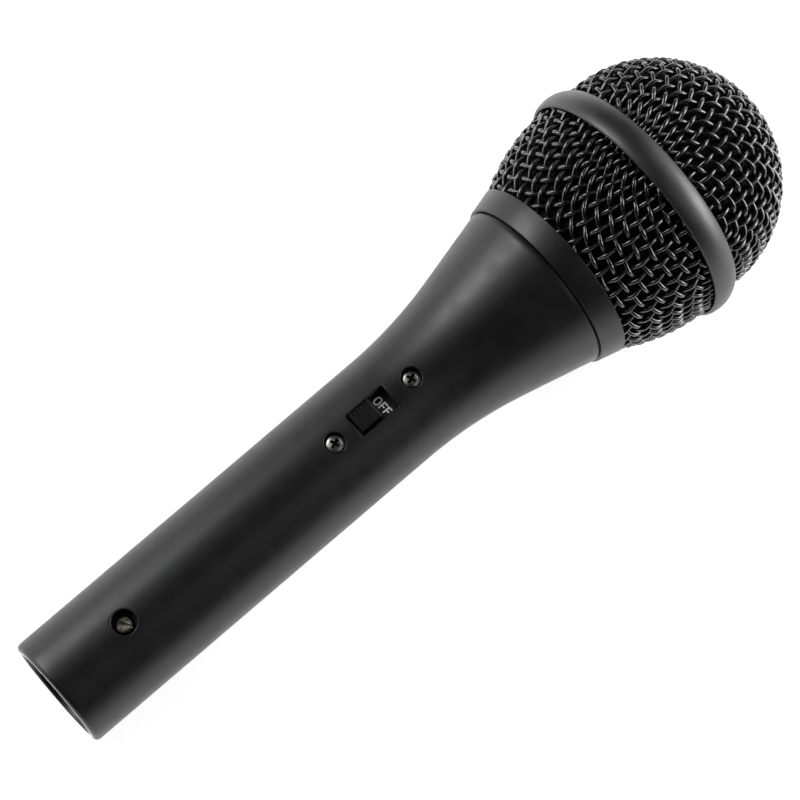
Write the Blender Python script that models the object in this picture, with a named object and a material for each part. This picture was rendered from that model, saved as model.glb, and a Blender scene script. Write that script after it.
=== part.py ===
"""Handheld dynamic vocal microphone with a slide switch and a male XLR socket.

The microphone's axis is X, with the grille towards +X and the switch facing +Z. Lengths in this
script are millimetres: a station is a distance along the axis from the handle's rear face, and
the scene's origin is the point on the axis where a stand clip grips the handle.
"""

import math

import bmesh
import bpy
from mathutils import Matrix, Vector

MM = 0.001
GAP = 0.3  # between pieces that touch
SIDES = 36  # facets round a turned piece
INNER_SIDES = 24  # facets round a turned piece inside the grille or the handle
SMALL_SIDES = 16  # facets round a screw or its hole
SHARP_ANGLE = math.radians(35)

# Handle: a straight barrel, a flare arc and a cone up to the collar.
GRIP_STATION = 55.0
REAR_RADIUS = 12.5
BARREL_END_STATION = 89.0
BARREL_END_RADIUS = 12.72
CONE_START_STATION = 114.0
CONE_START_RADIUS = 15.8
SHOULDER_STATION = 130.4
SHOULDER_RADIUS = 19.85
NECK_END_STATION = 138.9
NECK_RADIUS = 18.0
REAR_EDGE_ROUND = 1.2
SOCKET_RADIUS = 10.0
SOCKET_END_STATION = 27.6
BORE_RADIUS = 10.4
WALL = 2.3
MOUNT_SEAT_RADIUS = 16.2
MOUNT_SEAT_STATION = 124.6

# Grille: collar, basket mesh, band and ball mesh.
COLLAR_REAR = (130.8, 20.4)
COLLAR_FRONT = (135.9, 21.8)
MESH_THICKNESS = 0.8
BASKET_START = (136.5, 21.75)
BASKET_MIDDLE = (146.0, 25.85)
BASKET_END = (156.9, 27.45)
BAND_STATION = 155.9
BAND_WIDTH = 6.6
BAND_RADIUS = 28.75
BALL_RADIUS = 27.0
BALL_CENTRE_STATION = 165.2
FOAM_THICKNESS = 2.6

# Slide switch.
WINDOW_STATION = 84.45
WINDOW_LENGTH = 9.9
WINDOW_WIDTH = 5.65
KNOB_STATION = 82.6
KNOB_AHEAD = 0.2
KNOB_LENGTH = 5.2
KNOB_WIDTH = 4.6
KNOB_OFFSET = 0.35
KNOB_TOP = 12.45
KNOB_BASE = 9.95
KNOB_RIBS = 6
RIB_DEPTH = 0.45
SHUTTER_TOP = 9.65
SHUTTER_THICKNESS = 0.35
SHUTTER_LENGTH = 14.0
BRACKET_TOP = 9.0
BRACKET_BOTTOM = 7.7
SWITCH_TRAVEL = 3.7
SCREW_STATIONS = {"rear": 74.3, "front": 95.0}
SCREW_HEAD_RADIUS = 1.95
SCREW_HEAD_TOP = 12.1
SCREW_HEAD_BOTTOM = 11.4
SCREW_SHANK_RADIUS = 1.0
SCREW_END = 7.2
COUNTERBORE_RADIUS = 2.25
COUNTERBORE_FLOOR = 11.1

# Socket insert with three pins.
INSERT_STATION = 14.8
INSERT_LENGTH = 11.8
INSERT_RADIUS = 9.65
PIN_RADIUS = 1.2
PIN_TIP_STATION = 2.4
PIN_END_STATION = 30.9
PIN_CIRCLE_RADIUS = 4.0
PIN_ANGLES = {1: 0, 2: 180, 3: 270}  # degrees from +Y towards +Z
SET_SCREW_STATION = 18.7
SET_SCREW_RADIUS = 1.75
SET_SCREW_TOP = 10.4
SET_SCREW_HOLE_RADIUS = 2.65

# Capsule.
CAPSULE_STATION = 139.3
CAPSULE_RADIUS = 14.6
CAPSULE_LENGTH = 19.2
CHAMBER_RADIUS = 11.0
CHAMBER_STATION = 110.0


def clear_scene():
    for old in list(bpy.data.objects):
        bpy.data.objects.remove(old, do_unlink=True)


def material(name, colour, roughness, metallic=0.0):
    made = bpy.data.materials.new(name)
    made.use_nodes = True
    shader = made.node_tree.nodes["Principled BSDF"]
    shader.inputs["Base Color"].default_value = (*colour, 1.0)
    shader.inputs["Roughness"].default_value = roughness
    shader.inputs["Metallic"].default_value = metallic
    made.diffuse_color = (*colour, 1.0)
    return made


def along(station):
    """World X, in millimetres, of a station."""
    return station - GRIP_STATION


def arc(start, middle, end, steps):
    """Points on the circle through three points, from start to end."""
    ax, ay = start
    bx, by = middle
    cx, cy = end
    det = 2 * (ax * (by - cy) + bx * (cy - ay) + cx * (ay - by))
    a2, b2, c2 = ax * ax + ay * ay, bx * bx + by * by, cx * cx + cy * cy
    ox = (a2 * (by - cy) + b2 * (cy - ay) + c2 * (ay - by)) / det
    oy = (a2 * (cx - bx) + b2 * (ax - cx) + c2 * (bx - ax)) / det
    radius = math.hypot(ax - ox, ay - oy)
    first = math.atan2(ay - oy, ax - ox)
    turn = math.remainder(math.atan2(cy - oy, cx - ox) - first, math.tau)
    angles = [first + turn * i / steps for i in range(steps + 1)]
    return [(ox + radius * math.cos(a), oy + radius * math.sin(a)) for a in angles]


def tangent_arc(start, corner, end, steps):
    """Points on the curve that leaves start towards corner and reaches end from it."""
    points = []
    for i in range(steps + 1):
        t = i / steps
        weights = ((1 - t) ** 2, 2 * t * (1 - t), t * t)
        points.append(tuple(sum(w * p[k] for w, p in zip(weights, (start, corner, end))) for k in (0, 1)))
    return points


def inset(points, depth):
    """The same open outline, moved towards its right-hand side by depth."""
    moved = []
    for i, (x, r) in enumerate(points):
        before, after = points[max(i - 1, 0)], points[min(i + 1, len(points) - 1)]
        dx, dr = after[0] - before[0], after[1] - before[1]
        length = math.hypot(dx, dr)
        moved.append((x + depth * dr / length, r - depth * dx / length))
    return moved


def add_object(name, bm, finish, origin=(0, 0, 0), parent=None):
    """Makes an object of a mesh in world millimetres, with its own origin at a world point."""
    bmesh.ops.translate(bm, verts=bm.verts, vec=-Vector(origin))
    bmesh.ops.scale(bm, verts=bm.verts, vec=(MM, MM, MM))
    bmesh.ops.recalc_face_normals(bm, faces=bm.faces)
    mesh = bpy.data.meshes.new(name)
    bm.to_mesh(mesh)
    bm.free()
    mesh.shade_smooth()
    mesh.set_sharp_from_angle(angle=SHARP_ANGLE)
    if finish:
        mesh.materials.append(finish)
    made = bpy.data.objects.new(name, mesh)
    bpy.context.collection.objects.link(made)
    made.location = Vector(origin) * MM
    if parent:
        made.parent = parent
        made.location = Vector(origin) * MM - parent.location
    return made


def turned_mesh(outline, sides, shift=(0, 0)):
    """A closed outline of (station, radius) points, turned about the microphone's axis."""
    half_facet = math.pi / sides
    cos, sin = math.cos(half_facet), math.sin(half_facet)
    bm = bmesh.new()
    verts = [bm.verts.new((along(x), r * sin, r * cos)) for x, r in outline]
    for i, vert in enumerate(verts):
        other = (i + 1) % len(verts)
        if outline[i][1] > 0 or outline[other][1] > 0:
            bm.edges.new((vert, verts[other]))
    geometry = bm.verts[:] + bm.edges[:]
    bmesh.ops.spin(
        bm, geom=geometry, cent=(0, 0, 0), axis=(1, 0, 0), angle=math.tau, steps=sides, use_merge=True
    )
    bmesh.ops.remove_doubles(bm, verts=bm.verts, dist=1e-5)
    bmesh.ops.translate(bm, verts=bm.verts, vec=(0, *shift))
    return bm


def turned(name, outline, finish, sides=SIDES, shift=(0, 0), parent=None):
    start = min(x for x, _ in outline)
    return add_object(name, turned_mesh(outline, sides, shift), finish, (along(start), *shift), parent)


def shell(outer, thickness):
    """A closed outline for a wall of this thickness inside an open outline that runs towards +X."""
    inner = inset(outer, thickness)
    if outer[-1][1] == 0:
        inner[-1] = (outer[-1][0] - thickness, 0)
    return outer + inner[::-1]


def upright_mesh(outline, centre, sides=SMALL_SIDES):
    """A closed outline of (radius, height) points, turned about a vertical line."""
    station, y = centre
    half_facet = math.pi / sides
    cos, sin = math.cos(half_facet), math.sin(half_facet)
    bm = bmesh.new()
    verts = [bm.verts.new((r * cos, r * sin, z)) for r, z in outline]
    for i, vert in enumerate(verts):
        other = (i + 1) % len(verts)
        if outline[i][0] > 0 or outline[other][0] > 0:
            bm.edges.new((vert, verts[other]))
    geometry = bm.verts[:] + bm.edges[:]
    bmesh.ops.spin(
        bm, geom=geometry, cent=(0, 0, 0), axis=(0, 0, 1), angle=math.tau, steps=sides, use_merge=True
    )
    bmesh.ops.remove_doubles(bm, verts=bm.verts, dist=1e-5)
    bmesh.ops.recalc_face_normals(bm, faces=bm.faces)
    bmesh.ops.translate(bm, verts=bm.verts, vec=(along(station), y, 0))
    return bm


def block_mesh(stations, ys, zs):
    low = Vector((along(stations[0]), ys[0], zs[0]))
    high = Vector((along(stations[1]), ys[1], zs[1]))
    size = Matrix.Diagonal((*(high - low), 1))
    bm = bmesh.new()
    bmesh.ops.create_cube(bm, size=1, matrix=Matrix.Translation((low + high) / 2) @ size)
    return bm


def block(name, stations, ys, zs, finish, parent=None):
    centre = (along(sum(stations) / 2), sum(ys) / 2, sum(zs) / 2)
    return add_object(name, block_mesh(stations, ys, zs), finish, centre, parent)


def as_cutter(made):
    made.hide_render = True
    made.display_type = "WIRE"
    return made


def boolean(target, tool, operation="DIFFERENCE"):
    modifier = target.modifiers.new(operation.lower(), "BOOLEAN")
    modifier.operation = operation
    modifier.solver = "EXACT"
    modifier.object = as_cutter(tool)


def cut_block(target, name, stations, ys, zs):
    boolean(target, block(name, stations, ys, zs, None))


def cut_upright(target, name, steps, station, low, sides=SMALL_SIDES):
    """Cuts a stepped hole: steps are (radius, height of its top) pairs, from the bottom up."""
    outline = [(0, low)]
    for radius, top in steps:
        outline += [(radius, outline[-1][1]), (radius, top)]
    outline.append((0, steps[-1][1]))
    cutter = add_object(name, upright_mesh(outline, (station, 0), sides), None, (along(station), 0, low))
    boolean(target, cutter)


def empty(name, station):
    made = bpy.data.objects.new(name, None)
    bpy.context.collection.objects.link(made)
    made.empty_display_size = 5 * MM
    made.location = (along(station) * MM, 0, 0)
    return made


def lead(name, points, finish):
    """An insulated lead along a smooth curve through its points."""
    radius = 0.5
    knots = [Vector((along(x), y, z)) for x, y, z in points]
    ends = [2 * knots[0] - knots[1], *knots, 2 * knots[-1] - knots[-2]]
    smooth = []
    for a, b, c, d in zip(ends, ends[1:], ends[2:], ends[3:]):
        steps = max(2, round((c - b).length / 5))
        for i in range(steps):
            t = i / steps
            bend = (2 * a - 5 * b + 4 * c - d) * t * t + (3 * b - a - 3 * c + d) * t**3
            smooth.append(b + ((c - a) * t + bend) / 2)
    smooth.append(knots[-1])
    curve = bpy.data.curves.new(name, "CURVE")
    curve.dimensions = "3D"
    curve.bevel_depth = radius * MM
    curve.bevel_resolution = 2
    curve.use_fill_caps = True
    spline = curve.splines.new("POLY")
    spline.points.add(len(smooth) - 1)
    for point, place in zip(spline.points, smooth):
        point.co = (*(place * MM), 1)
    curve.materials.append(finish)
    made = bpy.data.objects.new(name, curve)
    bpy.context.collection.objects.link(made)


def handle_outside():
    """The barrel, flare and cone, from the rear edge to the shoulder."""
    slope = (SHOULDER_RADIUS - CONE_START_RADIUS) / (SHOULDER_STATION - CONE_START_STATION)
    corner_station = CONE_START_STATION - (CONE_START_RADIUS - BARREL_END_RADIUS) / slope
    flare = tangent_arc(
        (BARREL_END_STATION, BARREL_END_RADIUS),
        (corner_station, BARREL_END_RADIUS),
        (CONE_START_STATION, CONE_START_RADIUS),
        6,
    )
    return flare + [(SHOULDER_STATION, SHOULDER_RADIUS)]


def handle_body(finish):
    rounding = arc(
        (0, REAR_RADIUS - REAR_EDGE_ROUND),
        (REAR_EDGE_ROUND * (1 - math.sqrt(0.5)), REAR_RADIUS - REAR_EDGE_ROUND * (1 - math.sqrt(0.5))),
        (REAR_EDGE_ROUND, REAR_RADIUS),
        3,
    )
    outside = handle_outside()
    inside = [p for p in inset(outside[2:-1], WALL) if p[0] < MOUNT_SEAT_STATION - 1]
    outline = rounding + outside
    outline += [(SHOULDER_STATION, NECK_RADIUS), (NECK_END_STATION, NECK_RADIUS)]
    outline += [(NECK_END_STATION, MOUNT_SEAT_RADIUS), (MOUNT_SEAT_STATION, MOUNT_SEAT_RADIUS)]
    outline += [(MOUNT_SEAT_STATION, MOUNT_SEAT_RADIUS - 0.7)]
    outline += [p for p in inside[::-1] if p[1] > BORE_RADIUS]
    outline += [(BARREL_END_STATION, BORE_RADIUS), (SOCKET_END_STATION, BORE_RADIUS)]
    outline += [(SOCKET_END_STATION, SOCKET_RADIUS), (0.5, SOCKET_RADIUS), (0, SOCKET_RADIUS + 0.4)]
    body = turned("handle_body", outline, finish)
    half = WINDOW_LENGTH / 2
    cut_block(
        body,
        "window_cutter",
        (WINDOW_STATION - half, WINDOW_STATION + half),
        (-WINDOW_WIDTH / 2, WINDOW_WIDTH / 2),
        (8.0, 14.0),
    )
    for end, station in SCREW_STATIONS.items():
        steps = [(SCREW_SHANK_RADIUS + GAP, COUNTERBORE_FLOOR), (COUNTERBORE_RADIUS, 14.0)]
        cut_upright(body, f"screw_hole_{end}", steps, station, 8.0)
    cut_upright(body, "set_screw_hole", [(SET_SCREW_HOLE_RADIUS, 14.0)], SET_SCREW_STATION, 8.0)


def basket_outside():
    """The basket mesh: a skirt inside the collar, the bulge, and a rim under the band."""
    skirt = [(133.75, 20.6), (135.8, 20.95)]
    return skirt + arc(BASKET_START, BASKET_MIDDLE, BASKET_END, 6) + [(159.0, BASKET_END[1])]


def ball_outside(steps):
    """The ball mesh, from its rim at the band to its tip."""
    rim = BAND_STATION + BAND_WIDTH + 0.35
    first = math.acos((rim - BALL_CENTRE_STATION) / BALL_RADIUS)
    angles = [first * (1 - i / steps) for i in range(steps + 1)]
    points = [(BALL_CENTRE_STATION + BALL_RADIUS * math.cos(a), BALL_RADIUS * math.sin(a)) for a in angles]
    points[-1] = (points[-1][0], 0)
    return points


def grille(finishes):
    turn = empty("grille_turn", SHOULDER_STATION)
    rear, front = COLLAR_REAR, COLLAR_FRONT
    collar = [(rear[0], 19.75), rear, front, (front[0], front[1] - 0.5), (133.4, 20.95), (133.4, 19.75)]
    turned("collar_ring", collar, finishes["handle"], parent=turn)
    ring = [(131.6, 18.3), (131.6, 19.4), (138.4, 19.4), (138.4, 18.3)]
    turned("grille_thread_ring", ring, finishes["brass"], parent=turn)
    turned("basket_grille", shell(basket_outside(), MESH_THICKNESS), finishes["mesh"], parent=turn)
    band_end = BAND_STATION + BAND_WIDTH
    top = (BAND_STATION + 3.1, BAND_RADIUS)
    crown = arc((BAND_STATION + 0.3, BAND_RADIUS - 0.3), top, (band_end, BAND_RADIUS - 1.45), 5)
    band = [(BAND_STATION, 27.8), (BAND_STATION, BAND_RADIUS - 0.6), *crown]
    band += [(band_end, 25.6), (159.4, 25.6), (159.4, 27.8)]
    turned("grille_band", band, finishes["band"], parent=turn)
    turned("ball_grille", shell(ball_outside(10), MESH_THICKNESS), finishes["mesh"], parent=turn)
    clearance = MESH_THICKNESS + GAP + 0.1
    liner = arc((141.0, 22.9), (149.0, 25.2), (158.9, 26.1), 4)
    turned("basket_foam", shell(liner, FOAM_THICKNESS), finishes["foam"], INNER_SIDES, parent=turn)
    lining = inset(ball_outside(7), clearance)[:-1]
    lining.append((BALL_CENTRE_STATION + BALL_RADIUS - clearance, 0))
    turned("ball_foam", shell(lining, FOAM_THICKNESS), finishes["foam"], INNER_SIDES, parent=turn)
    washer = [(130.75, 18.3), (130.75, 19.4), (131.25, 19.4), (131.25, 18.3)]
    turned("collar_washer", washer, finishes["nylon"])


def knob_mesh():
    """A ribbed block: the outline of its side, extruded across the window."""
    start = KNOB_STATION + KNOB_AHEAD - KNOB_LENGTH / 2
    pitch = KNOB_LENGTH / KNOB_RIBS
    side = [(start, KNOB_BASE)]
    for rib in range(KNOB_RIBS):
        left = start + rib * pitch
        low = KNOB_TOP - RIB_DEPTH
        side += [(left + 0.02, low), (left + 0.22, KNOB_TOP)]
        side += [(left + pitch - 0.37, KNOB_TOP), (left + pitch - 0.17, low)]
    side.append((start + KNOB_LENGTH, KNOB_BASE))
    bm = bmesh.new()
    near = KNOB_OFFSET - KNOB_WIDTH / 2
    face = bm.faces.new([bm.verts.new((along(x), near, z)) for x, z in side])
    extruded = bmesh.ops.extrude_face_region(bm, geom=[face])
    moved = [v for v in extruded["geom"] if isinstance(v, bmesh.types.BMVert)]
    bmesh.ops.translate(bm, verts=moved, vec=(0, KNOB_WIDTH, 0))
    return bm


def switch_slider(finishes):
    slide = empty("switch_slide", KNOB_STATION)
    knob = add_object("switch_knob", knob_mesh(), finishes["knob"], (along(KNOB_STATION), 0, 0), slide)
    stem = (KNOB_STATION - 1.1, KNOB_STATION + 1.1)
    boolean(knob, block("knob_stem", stem, (-0.9, 0.9), (6.4, KNOB_BASE + 0.5), finishes["knob"]), "UNION")
    half = SHUTTER_LENGTH / 2
    heights = (SHUTTER_TOP - SHUTTER_THICKNESS, SHUTTER_TOP)
    plate = (KNOB_STATION - half, KNOB_STATION + half)
    shutter = block("switch_shutter", plate, (-2.95, 2.95), heights, finishes["label"], slide)
    cut_block(shutter, "shutter_hole", (stem[0] - GAP, stem[1] + GAP), (-1.2, 1.2), (9.0, 10.0))
    contact = (KNOB_STATION - 1.6, KNOB_STATION + 1.6)
    block("switch_contact", contact, (-1.6, 1.6), (4.7, 6.05), finishes["brass"], slide)


def switch_frame(finishes):
    bracket = block(
        "switch_bracket", (70.8, 98.5), (-3.3, 3.3), (BRACKET_BOTTOM, BRACKET_TOP), finishes["steel"]
    )
    reach = 1.1 + GAP
    slot = (KNOB_STATION - reach, KNOB_STATION + reach + SWITCH_TRAVEL)
    cut_block(bracket, "bracket_slot", slot, (-1.25, 1.25), (7.0, 10.0))
    body = block("switch_body", (76.6, 92.4), (-3.2, 3.2), (2.6, BRACKET_BOTTOM - GAP), finishes["knob"])
    cut_block(body, "body_pocket", (78.0, 91.0), (-2.2, 2.2), (4.2, 9.0))
    for end, station in SCREW_STATIONS.items():
        cut_upright(bracket, f"bracket_hole_{end}", [(SCREW_SHANK_RADIUS + GAP, 10.0)], station, 7.0, 12)
        shape = [(0, SCREW_HEAD_TOP), (1.1, SCREW_HEAD_TOP - 0.04), (1.65, SCREW_HEAD_TOP - 0.2)]
        shape += [(SCREW_HEAD_RADIUS, SCREW_HEAD_TOP - 0.5), (SCREW_HEAD_RADIUS, SCREW_HEAD_BOTTOM)]
        shape += [(SCREW_SHANK_RADIUS, SCREW_HEAD_BOTTOM), (SCREW_SHANK_RADIUS, SCREW_END), (0, SCREW_END)]
        origin = (along(station), 0, SCREW_END)
        mesh = upright_mesh(shape, (station, 0))
        screw = add_object(f"switch_screw_{end}", mesh, finishes["nickel"], origin)
        for name, dx, dy in (("slot", 1.15, 0.28), ("cross", 0.28, 1.15)):
            span = (station - dx, station + dx)
            cut_block(screw, f"{name}_cutter_{end}", span, (-dy, dy), (SCREW_HEAD_TOP - 0.45, 13.0))
    for number, station in enumerate((80.5, 84.5, 88.5), start=1):
        name = f"switch_terminal_{number}"
        block(name, (station - 0.2, station + 0.2), (-0.7, 0.7), (-0.6, 2.3), finishes["brass"])


def xlr_socket(finishes):
    end = INSERT_STATION + INSERT_LENGTH
    start = INSERT_STATION
    insert = [(start, 0), (start, INSERT_RADIUS - 0.4), (start + 0.4, INSERT_RADIUS)]
    insert += [(end, INSERT_RADIUS), (end, 0)]
    body = turned("xlr_insert", insert, finishes["insert"])
    for number, degrees in PIN_ANGLES.items():
        angle = math.radians(degrees)
        place = (PIN_CIRCLE_RADIUS * math.cos(angle), PIN_CIRCLE_RADIUS * math.sin(angle))
        hole_radius = PIN_RADIUS + GAP
        hole = [(start - 1, 0), (start - 1, hole_radius), (end + 1, hole_radius), (end + 1, 0)]
        boolean(body, turned(f"pin_hole_{number}", hole, None, 12, place))
        pin = [(PIN_TIP_STATION, 0), (PIN_TIP_STATION + 0.1, 0.7), (PIN_TIP_STATION + 0.8, PIN_RADIUS)]
        pin += [(27.2, PIN_RADIUS), (27.2, PIN_RADIUS + 0.1), (PIN_END_STATION, PIN_RADIUS + 0.1)]
        pin += [(PIN_END_STATION, 0.8), (28.2, 0.8), (28.2, 0)]
        turned(f"xlr_pin_{number}", pin, finishes["silver"], 12, place)
    cut_upright(body, "set_screw_bore", [(SET_SCREW_RADIUS + GAP, 12.0)], SET_SCREW_STATION, 5.6)
    low = 5.9
    shape = [(0, SET_SCREW_TOP), (SET_SCREW_RADIUS - 0.25, SET_SCREW_TOP)]
    shape += [(SET_SCREW_RADIUS, SET_SCREW_TOP - 0.25), (SET_SCREW_RADIUS, low), (0, low)]
    origin = (along(SET_SCREW_STATION), 0, low)
    mesh = upright_mesh(shape, (SET_SCREW_STATION, 0))
    screw = add_object("xlr_set_screw", mesh, finishes["steel"], origin)
    slot = (SET_SCREW_STATION - 0.3, SET_SCREW_STATION + 0.3)
    cut_block(screw, "set_screw_slot", slot, (-3, 3), (SET_SCREW_TOP - 0.7, 12))
    block("ground_tag", (end + GAP, end + GAP + 0.4), (5.65, 9.5), (-1.3, 1.3), finishes["brass"])


def capsule(finishes):
    seat = [(125.0, 15.9), (129.0, 15.9), (129.6, 14.9), (133.9, 14.9), (134.5, 15.9), (138.5, 15.9)]
    seat += [(138.5, CHAMBER_RADIUS + 0.35), (125.0, CHAMBER_RADIUS + 0.35)]
    turned("shock_mount", seat, finishes["rubber"], INNER_SIDES)
    chamber_end = CAPSULE_STATION - 0.4
    bore = CHAMBER_RADIUS - 1.2
    chamber = [(CHAMBER_STATION, 1.2), (CHAMBER_STATION, bore), (CHAMBER_STATION + 0.8, CHAMBER_RADIUS)]
    chamber += [(chamber_end, CHAMBER_RADIUS), (chamber_end, bore), (CHAMBER_STATION + 1.5, bore)]
    chamber.append((CHAMBER_STATION + 1.5, 1.2))
    turned("air_chamber", chamber, finishes["insert"], INNER_SIDES)
    front = CAPSULE_STATION + CAPSULE_LENGTH
    cup = [(CAPSULE_STATION, 6.0), (CAPSULE_STATION, CAPSULE_RADIUS), (front, CAPSULE_RADIUS)]
    cup += [(front, 13.5), (CAPSULE_STATION + 1.3, 13.5), (CAPSULE_STATION + 1.3, 6.0)]
    turned("capsule_housing", cup, finishes["insert"], INNER_SIDES)
    felt = [(140.95, 0), (140.95, 9.5), (141.75, 9.5), (141.75, 0)]
    turned("felt_disc", felt, finishes["felt"], INNER_SIDES)
    yoke = [(142.2, 1.5), (142.2, 11.9), (152.4, 11.9), (152.4, 10.2), (143.8, 10.2), (143.8, 1.5)]
    turned("magnet_yoke", yoke, finishes["steel"], INNER_SIDES)
    turned("magnet", [(144.1, 0), (144.1, 8.4), (149.6, 8.4), (149.6, 0)], finishes["magnet"], INNER_SIDES)
    turned("pole_plate", [(149.9, 0), (149.9, 9.2), (152.2, 9.2), (152.2, 0)], finishes["steel"], INNER_SIDES)
    ring = [(152.8, 12.2), (152.8, 13.2), (154.1, 13.2), (154.1, 12.2)]
    turned("diaphragm_ring", ring, finishes["brass"], INNER_SIDES)
    travel = empty("diaphragm_travel", 155.0)
    coil = [(150.6, 9.5), (150.6, 9.9), (154.4, 9.9), (154.4, 9.5)]
    turned("voice_coil", coil, finishes["copper"], INNER_SIDES, parent=travel)
    dome = arc((157.4, 0), (156.6, 5.2), (154.95, 9.6), 4)
    dome[0] = (157.4, 0)
    outer = dome + arc((155.0, 10.2), (155.6, 11.2), (155.0, 12.4), 3)
    inner = [(x - 0.3, r) for x, r in outer]
    turned("diaphragm", outer + inner[::-1], finishes["film"], INNER_SIDES, parent=travel)
    lid = [(front + GAP, 0), (front + GAP, CAPSULE_RADIUS), (front + 1.5, CAPSULE_RADIUS)]
    lid += [(front + 2.1, CAPSULE_RADIUS - 0.7), (front + 2.1, 0)]
    cap = turned("capsule_cap", lid, finishes["insert"], INNER_SIDES)
    hole = [(front - 1, 0), (front - 1, 1.7), (front + 4, 1.7), (front + 4, 0)]
    for number in range(6):
        angle = math.tau * number / 6 + 0.2
        boolean(cap, turned(f"cap_hole_{number}", hole, None, 10, (8 * math.cos(angle), 8 * math.sin(angle))))
    for pole, y in (("hot", 3.0), ("cold", -3.0)):
        tag = (CHAMBER_STATION - 5.0, CHAMBER_STATION - 0.4)
        block(f"capsule_terminal_{pole}", tag, (y - 0.8, y + 0.8), (-0.2, 0.2), finishes["brass"])


def leads(finishes):
    routes = {
        "lead_capsule_hot": (
            "red",
            [
                (104.7, 3, 0), (101.5, 3.2, -1.2), (96, 2.6, -4),
                (91.5, 0.8, -4.6), (89, 0, -3.4), (88.5, 0, -1),
            ],
        ),
        "lead_capsule_cold": (
            "black",
            [(104.7, -3, 0), (100, -4, -2), (91, -4.4, -5.5), (78, -3.4, -7), (60, -2.4, -6.5)]
            + [(45, -1.4, -5.4), (36, -0.2, -4.1), (31.3, 0, -4)],
        ),
        "lead_switch_hot": (
            "white",
            [(84.5, 0, -1), (84, -0.1, -3), (78, -0.8, -4.2), (65, -2.6, -2.6), (50, -4, -0.6)]
            + [(40, -4.2, 0), (31.3, -4, 0)],
        ),
        "lead_ground": (
            "green",
            [(80.5, 0, -1), (79.8, 0.5, -2.4), (73, 2.5, -3), (60, 4.5, -1), (48, 5, 0.4), (38, 4.3, 0)]
            + [(31.3, 4, 0)],
        ),
    }
    for name, (finish, points) in routes.items():
        lead(name, points, finishes[finish])


def finishes_of_pieces():
    return {
        "handle": material("black_enamel", (0.018, 0.018, 0.019), 0.42),
        "band": material("black_band", (0.02, 0.02, 0.021), 0.4),
        "mesh": material("black_wire", (0.02, 0.02, 0.02), 0.35, 0.6),
        "foam": material("black_foam", (0.012, 0.012, 0.013), 0.95),
        "knob": material("black_plastic", (0.015, 0.015, 0.016), 0.5),
        "label": material("label_plate", (0.01, 0.01, 0.011), 0.55),
        "nickel": material("dark_nickel", (0.25, 0.24, 0.22), 0.28, 1.0),
        "steel": material("steel", (0.5, 0.49, 0.46), 0.35, 1.0),
        "silver": material("silver_contact", (0.8, 0.79, 0.76), 0.25, 1.0),
        "brass": material("brass", (0.62, 0.47, 0.2), 0.35, 1.0),
        "copper": material("copper_wire", (0.7, 0.33, 0.18), 0.35, 1.0),
        "insert": material("moulded_black", (0.014, 0.014, 0.015), 0.55),
        "nylon": material("black_nylon", (0.012, 0.012, 0.012), 0.55),
        "rubber": material("grey_rubber", (0.05, 0.05, 0.052), 0.8),
        "felt": material("grey_felt", (0.3, 0.3, 0.29), 0.95),
        "magnet": material("ferrite", (0.07, 0.07, 0.075), 0.45, 0.4),
        "film": material("clear_film", (0.75, 0.75, 0.7), 0.3),
        "red": material("red_lead", (0.5, 0.03, 0.03), 0.5),
        "black": material("black_lead", (0.02, 0.02, 0.02), 0.5),
        "white": material("white_lead", (0.75, 0.75, 0.73), 0.5),
        "green": material("green_lead", (0.05, 0.3, 0.08), 0.5),
    }


def build():
    clear_scene()
    finishes = finishes_of_pieces()
    handle_body(finishes["handle"])
    grille(finishes)
    switch_slider(finishes)
    switch_frame(finishes)
    xlr_socket(finishes)
    capsule(finishes)
    leads(finishes)


build()
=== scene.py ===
"""Looks of the handheld dynamic microphone: fine turned shells, woven-wire grille, switch, screws,
socket, materials, light and camera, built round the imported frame.

The microphone's axis is X. Lengths are millimetres unless a name says otherwise, a station is a
distance along the axis from the handle's rear face, and an azimuth turns from +Z towards +Y.
"""

import bisect
import cmath
import math

import bmesh
import bpy
import numpy as np
from mathutils import Matrix, Vector


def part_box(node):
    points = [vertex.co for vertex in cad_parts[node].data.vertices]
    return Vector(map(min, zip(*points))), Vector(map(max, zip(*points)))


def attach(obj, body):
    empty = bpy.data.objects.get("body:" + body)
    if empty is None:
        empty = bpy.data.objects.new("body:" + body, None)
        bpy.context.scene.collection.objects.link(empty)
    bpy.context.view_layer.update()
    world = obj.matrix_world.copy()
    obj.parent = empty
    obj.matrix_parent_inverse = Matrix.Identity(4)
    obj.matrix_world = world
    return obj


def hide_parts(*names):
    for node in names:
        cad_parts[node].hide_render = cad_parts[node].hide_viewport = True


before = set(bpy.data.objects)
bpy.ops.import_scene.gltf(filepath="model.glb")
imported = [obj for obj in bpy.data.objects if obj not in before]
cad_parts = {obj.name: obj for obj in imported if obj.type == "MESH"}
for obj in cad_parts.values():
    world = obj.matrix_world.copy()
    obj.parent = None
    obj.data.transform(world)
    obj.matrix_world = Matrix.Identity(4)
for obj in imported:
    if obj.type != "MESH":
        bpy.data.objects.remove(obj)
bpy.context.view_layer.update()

MM = 0.001
TURNED_SIDES = 240
QUARTER = math.pi / 2


def box_mm(node):
    """The lowest and highest corners of a CAD node, in millimetres."""
    low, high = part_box(node)
    return Vector(low) / MM, Vector(high) / MM


REAR_X = box_mm("handle_body")[0].x


def station_of(x):
    return x - REAR_X


def stations(node):
    """Where a CAD node starts and ends along the axis."""
    return tuple(station_of(corner.x) for corner in box_mm(node))


def middle_of(node):
    """The station and the Y and Z places of a CAD node's middle."""
    low, high = box_mm(node)
    return station_of((low.x + high.x) / 2), (low.y + high.y) / 2, (low.z + high.z) / 2


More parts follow.
